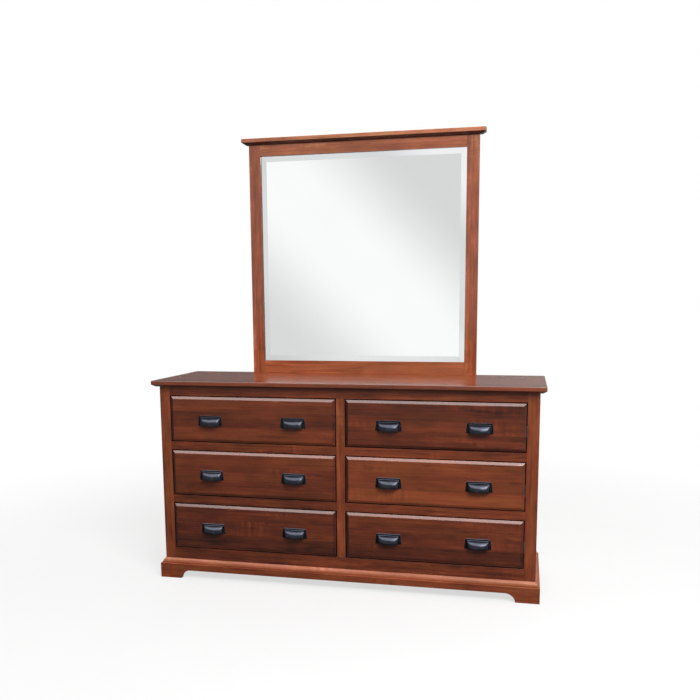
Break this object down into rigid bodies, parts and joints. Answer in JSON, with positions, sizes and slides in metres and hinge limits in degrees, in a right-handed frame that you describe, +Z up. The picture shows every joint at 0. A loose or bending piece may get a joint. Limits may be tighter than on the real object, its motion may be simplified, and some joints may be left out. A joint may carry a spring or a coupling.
{
  "type": "dresser with mirror",
  "caption": "Wide wooden dresser with inset bevelled drawers on telescopic slides, cup pulls, a moulded base with bracket feet and a framed bevelled mirror standing on the back of the top.",
  "frame": {"origin": "centre of the footprint of the whole object, on the floor", "axes": "+X along the width to the right seen from the front, +Y from the drawers to the back, +Z up"},
  "size_m": [1.626, 0.502, 1.9165],
  "materials": {
    "stained_wood": "reddish brown stain under satin lacquer",
    "drawer_front_wood": "reddish brown stain under satin lacquer, grain along the drawer",
    "drawer_box_wood": "clear lacquered pale hardwood",
    "inner_wood": "plain sanded hardwood",
    "plywood": "sanded plywood",
    "pull_metal": "blued black, soft gloss",
    "slide_steel": "zinc plated",
    "mirror_glass": "silvered glass with a polished bevel"
  },
  "bodies": {
    "case": {"top_board": "stained_wood", "side_panel_left": "stained_wood", "side_panel_right": "stained_wood", "centre_partition": "inner_wood", "bottom_board": "plywood", "back_panel": "plywood", "back_rails": "inner_wood", "top_rail": "stained_wood", "bottom_rail": "stained_wood", "drawer_rails": "stained_wood", "centre_stile": "stained_wood", "outer_stile_left": "stained_wood", "outer_stile_right": "stained_wood", "slide_fillers": "inner_wood", "slide_channels": "slide_steel", "base_front": "stained_wood", "base_sides": "stained_wood", "foot_blocks": "inner_wood", "mirror_posts": "stained_wood", "mirror_rails": "stained_wood", "mirror_crown": "stained_wood", "mirror_glass": "mirror_glass", "mirror_backboard": "plywood", "mirror_supports": "stained_wood"},
    "drawer_left_top": {"front_left_top": "drawer_front_wood", "box_left_top": "drawer_box_wood", "bottom_left_top": "drawer_box_wood", "pulls_left_top": "pull_metal", "runners_left_top": "slide_steel"},
    "slide_left_top": {"slides_left_top": "slide_steel"},
    "drawer_left_middle": {"front_left_middle": "drawer_front_wood", "box_left_middle": "drawer_box_wood", "bottom_left_middle": "drawer_box_wood", "pulls_left_middle": "pull_metal", "runners_left_middle": "slide_steel"},
    "slide_left_middle": {"slides_left_middle": "slide_steel"},
    "drawer_left_bottom": {"front_left_bottom": "drawer_front_wood", "box_left_bottom": "drawer_box_wood", "bottom_left_bottom": "drawer_box_wood", "pulls_left_bottom": "pull_metal", "runners_left_bottom": "slide_steel"},
    "slide_left_bottom": {"slides_left_bottom": "slide_steel"},
    "drawer_right_top": {"front_right_top": "drawer_front_wood", "box_right_top": "drawer_box_wood", "bottom_right_top": "drawer_box_wood", "pulls_right_top": "pull_metal", "runners_right_top": "slide_steel"},
    "slide_right_top": {"slides_right_top": "slide_steel"},
    "drawer_right_middle": {"front_right_middle": "drawer_front_wood", "box_right_middle": "drawer_box_wood", "bottom_right_middle": "drawer_box_wood", "pulls_right_middle": "pull_metal", "runners_right_middle": "slide_steel"},
    "slide_right_middle": {"slides_right_middle": "slide_steel"},
    "drawer_right_bottom": {"front_right_bottom": "drawer_front_wood", "box_right_bottom": "drawer_box_wood", "bottom_right_bottom": "drawer_box_wood", "pulls_right_bottom": "pull_metal", "runners_right_bottom": "slide_steel"},
    "slide_right_bottom": {"slides_right_bottom": "slide_steel"}
  },
  "joints": [
    {"name": "drawer_left_top_slide", "type": "slide", "parent": "case", "child": "drawer_left_top", "axis": [0, -1, 0], "range_m": [0, 0.4]},
    {"name": "slide_left_top_slide", "type": "slide", "parent": "case", "child": "slide_left_top", "axis": [0, -1, 0], "range_m": [0, 0.2]},
    {"name": "drawer_left_middle_slide", "type": "slide", "parent": "case", "child": "drawer_left_middle", "axis": [0, -1, 0], "range_m": [0, 0.4]},
    {"name": "slide_left_middle_slide", "type": "slide", "parent": "case", "child": "slide_left_middle", "axis": [0, -1, 0], "range_m": [0, 0.2]},
    {"name": "drawer_left_bottom_slide", "type": "slide", "parent": "case", "child": "drawer_left_bottom", "axis": [0, -1, 0], "range_m": [0, 0.4]},
    {"name": "slide_left_bottom_slide", "type": "slide", "parent": "case", "child": "slide_left_bottom", "axis": [0, -1, 0], "range_m": [0, 0.2]},
    {"name": "drawer_right_top_slide", "type": "slide", "parent": "case", "child": "drawer_right_top", "axis": [0, -1, 0], "range_m": [0, 0.4]},
    {"name": "slide_right_top_slide", "type": "slide", "parent": "case", "child": "slide_right_top", "axis": [0, -1, 0], "range_m": [0, 0.2]},
    {"name": "drawer_right_middle_slide", "type": "slide", "parent": "case", "child": "drawer_right_middle", "axis": [0, -1, 0], "range_m": [0, 0.4]},
    {"name": "slide_right_middle_slide", "type": "slide", "parent": "case", "child": "slide_right_middle", "axis": [0, -1, 0], "range_m": [0, 0.2]},
    {"name": "drawer_right_bottom_slide", "type": "slide", "parent": "case", "child": "drawer_right_bottom", "axis": [0, -1, 0], "range_m": [0, 0.4]},
    {"name": "slide_right_bottom_slide", "type": "slide", "parent": "case", "child": "slide_right_bottom", "axis": [0, -1, 0], "range_m": [0, 0.2]}
  ],
  "couplings": [
    {"joint": "slide_left_top_slide", "follows": "drawer_left_top_slide", "ratio": 0.5},
    {"joint": "slide_left_middle_slide", "follows": "drawer_left_middle_slide", "ratio": 0.5},
    {"joint": "slide_left_bottom_slide", "follows": "drawer_left_bottom_slide", "ratio": 0.5},
    {"joint": "slide_right_top_slide", "follows": "drawer_right_top_slide", "ratio": 0.5},
    {"joint": "slide_right_middle_slide", "follows": "drawer_right_middle_slide", "ratio": 0.5},
    {"joint": "slide_right_bottom_slide", "follows": "drawer_right_bottom_slide", "ratio": 0.5}
  ]
}
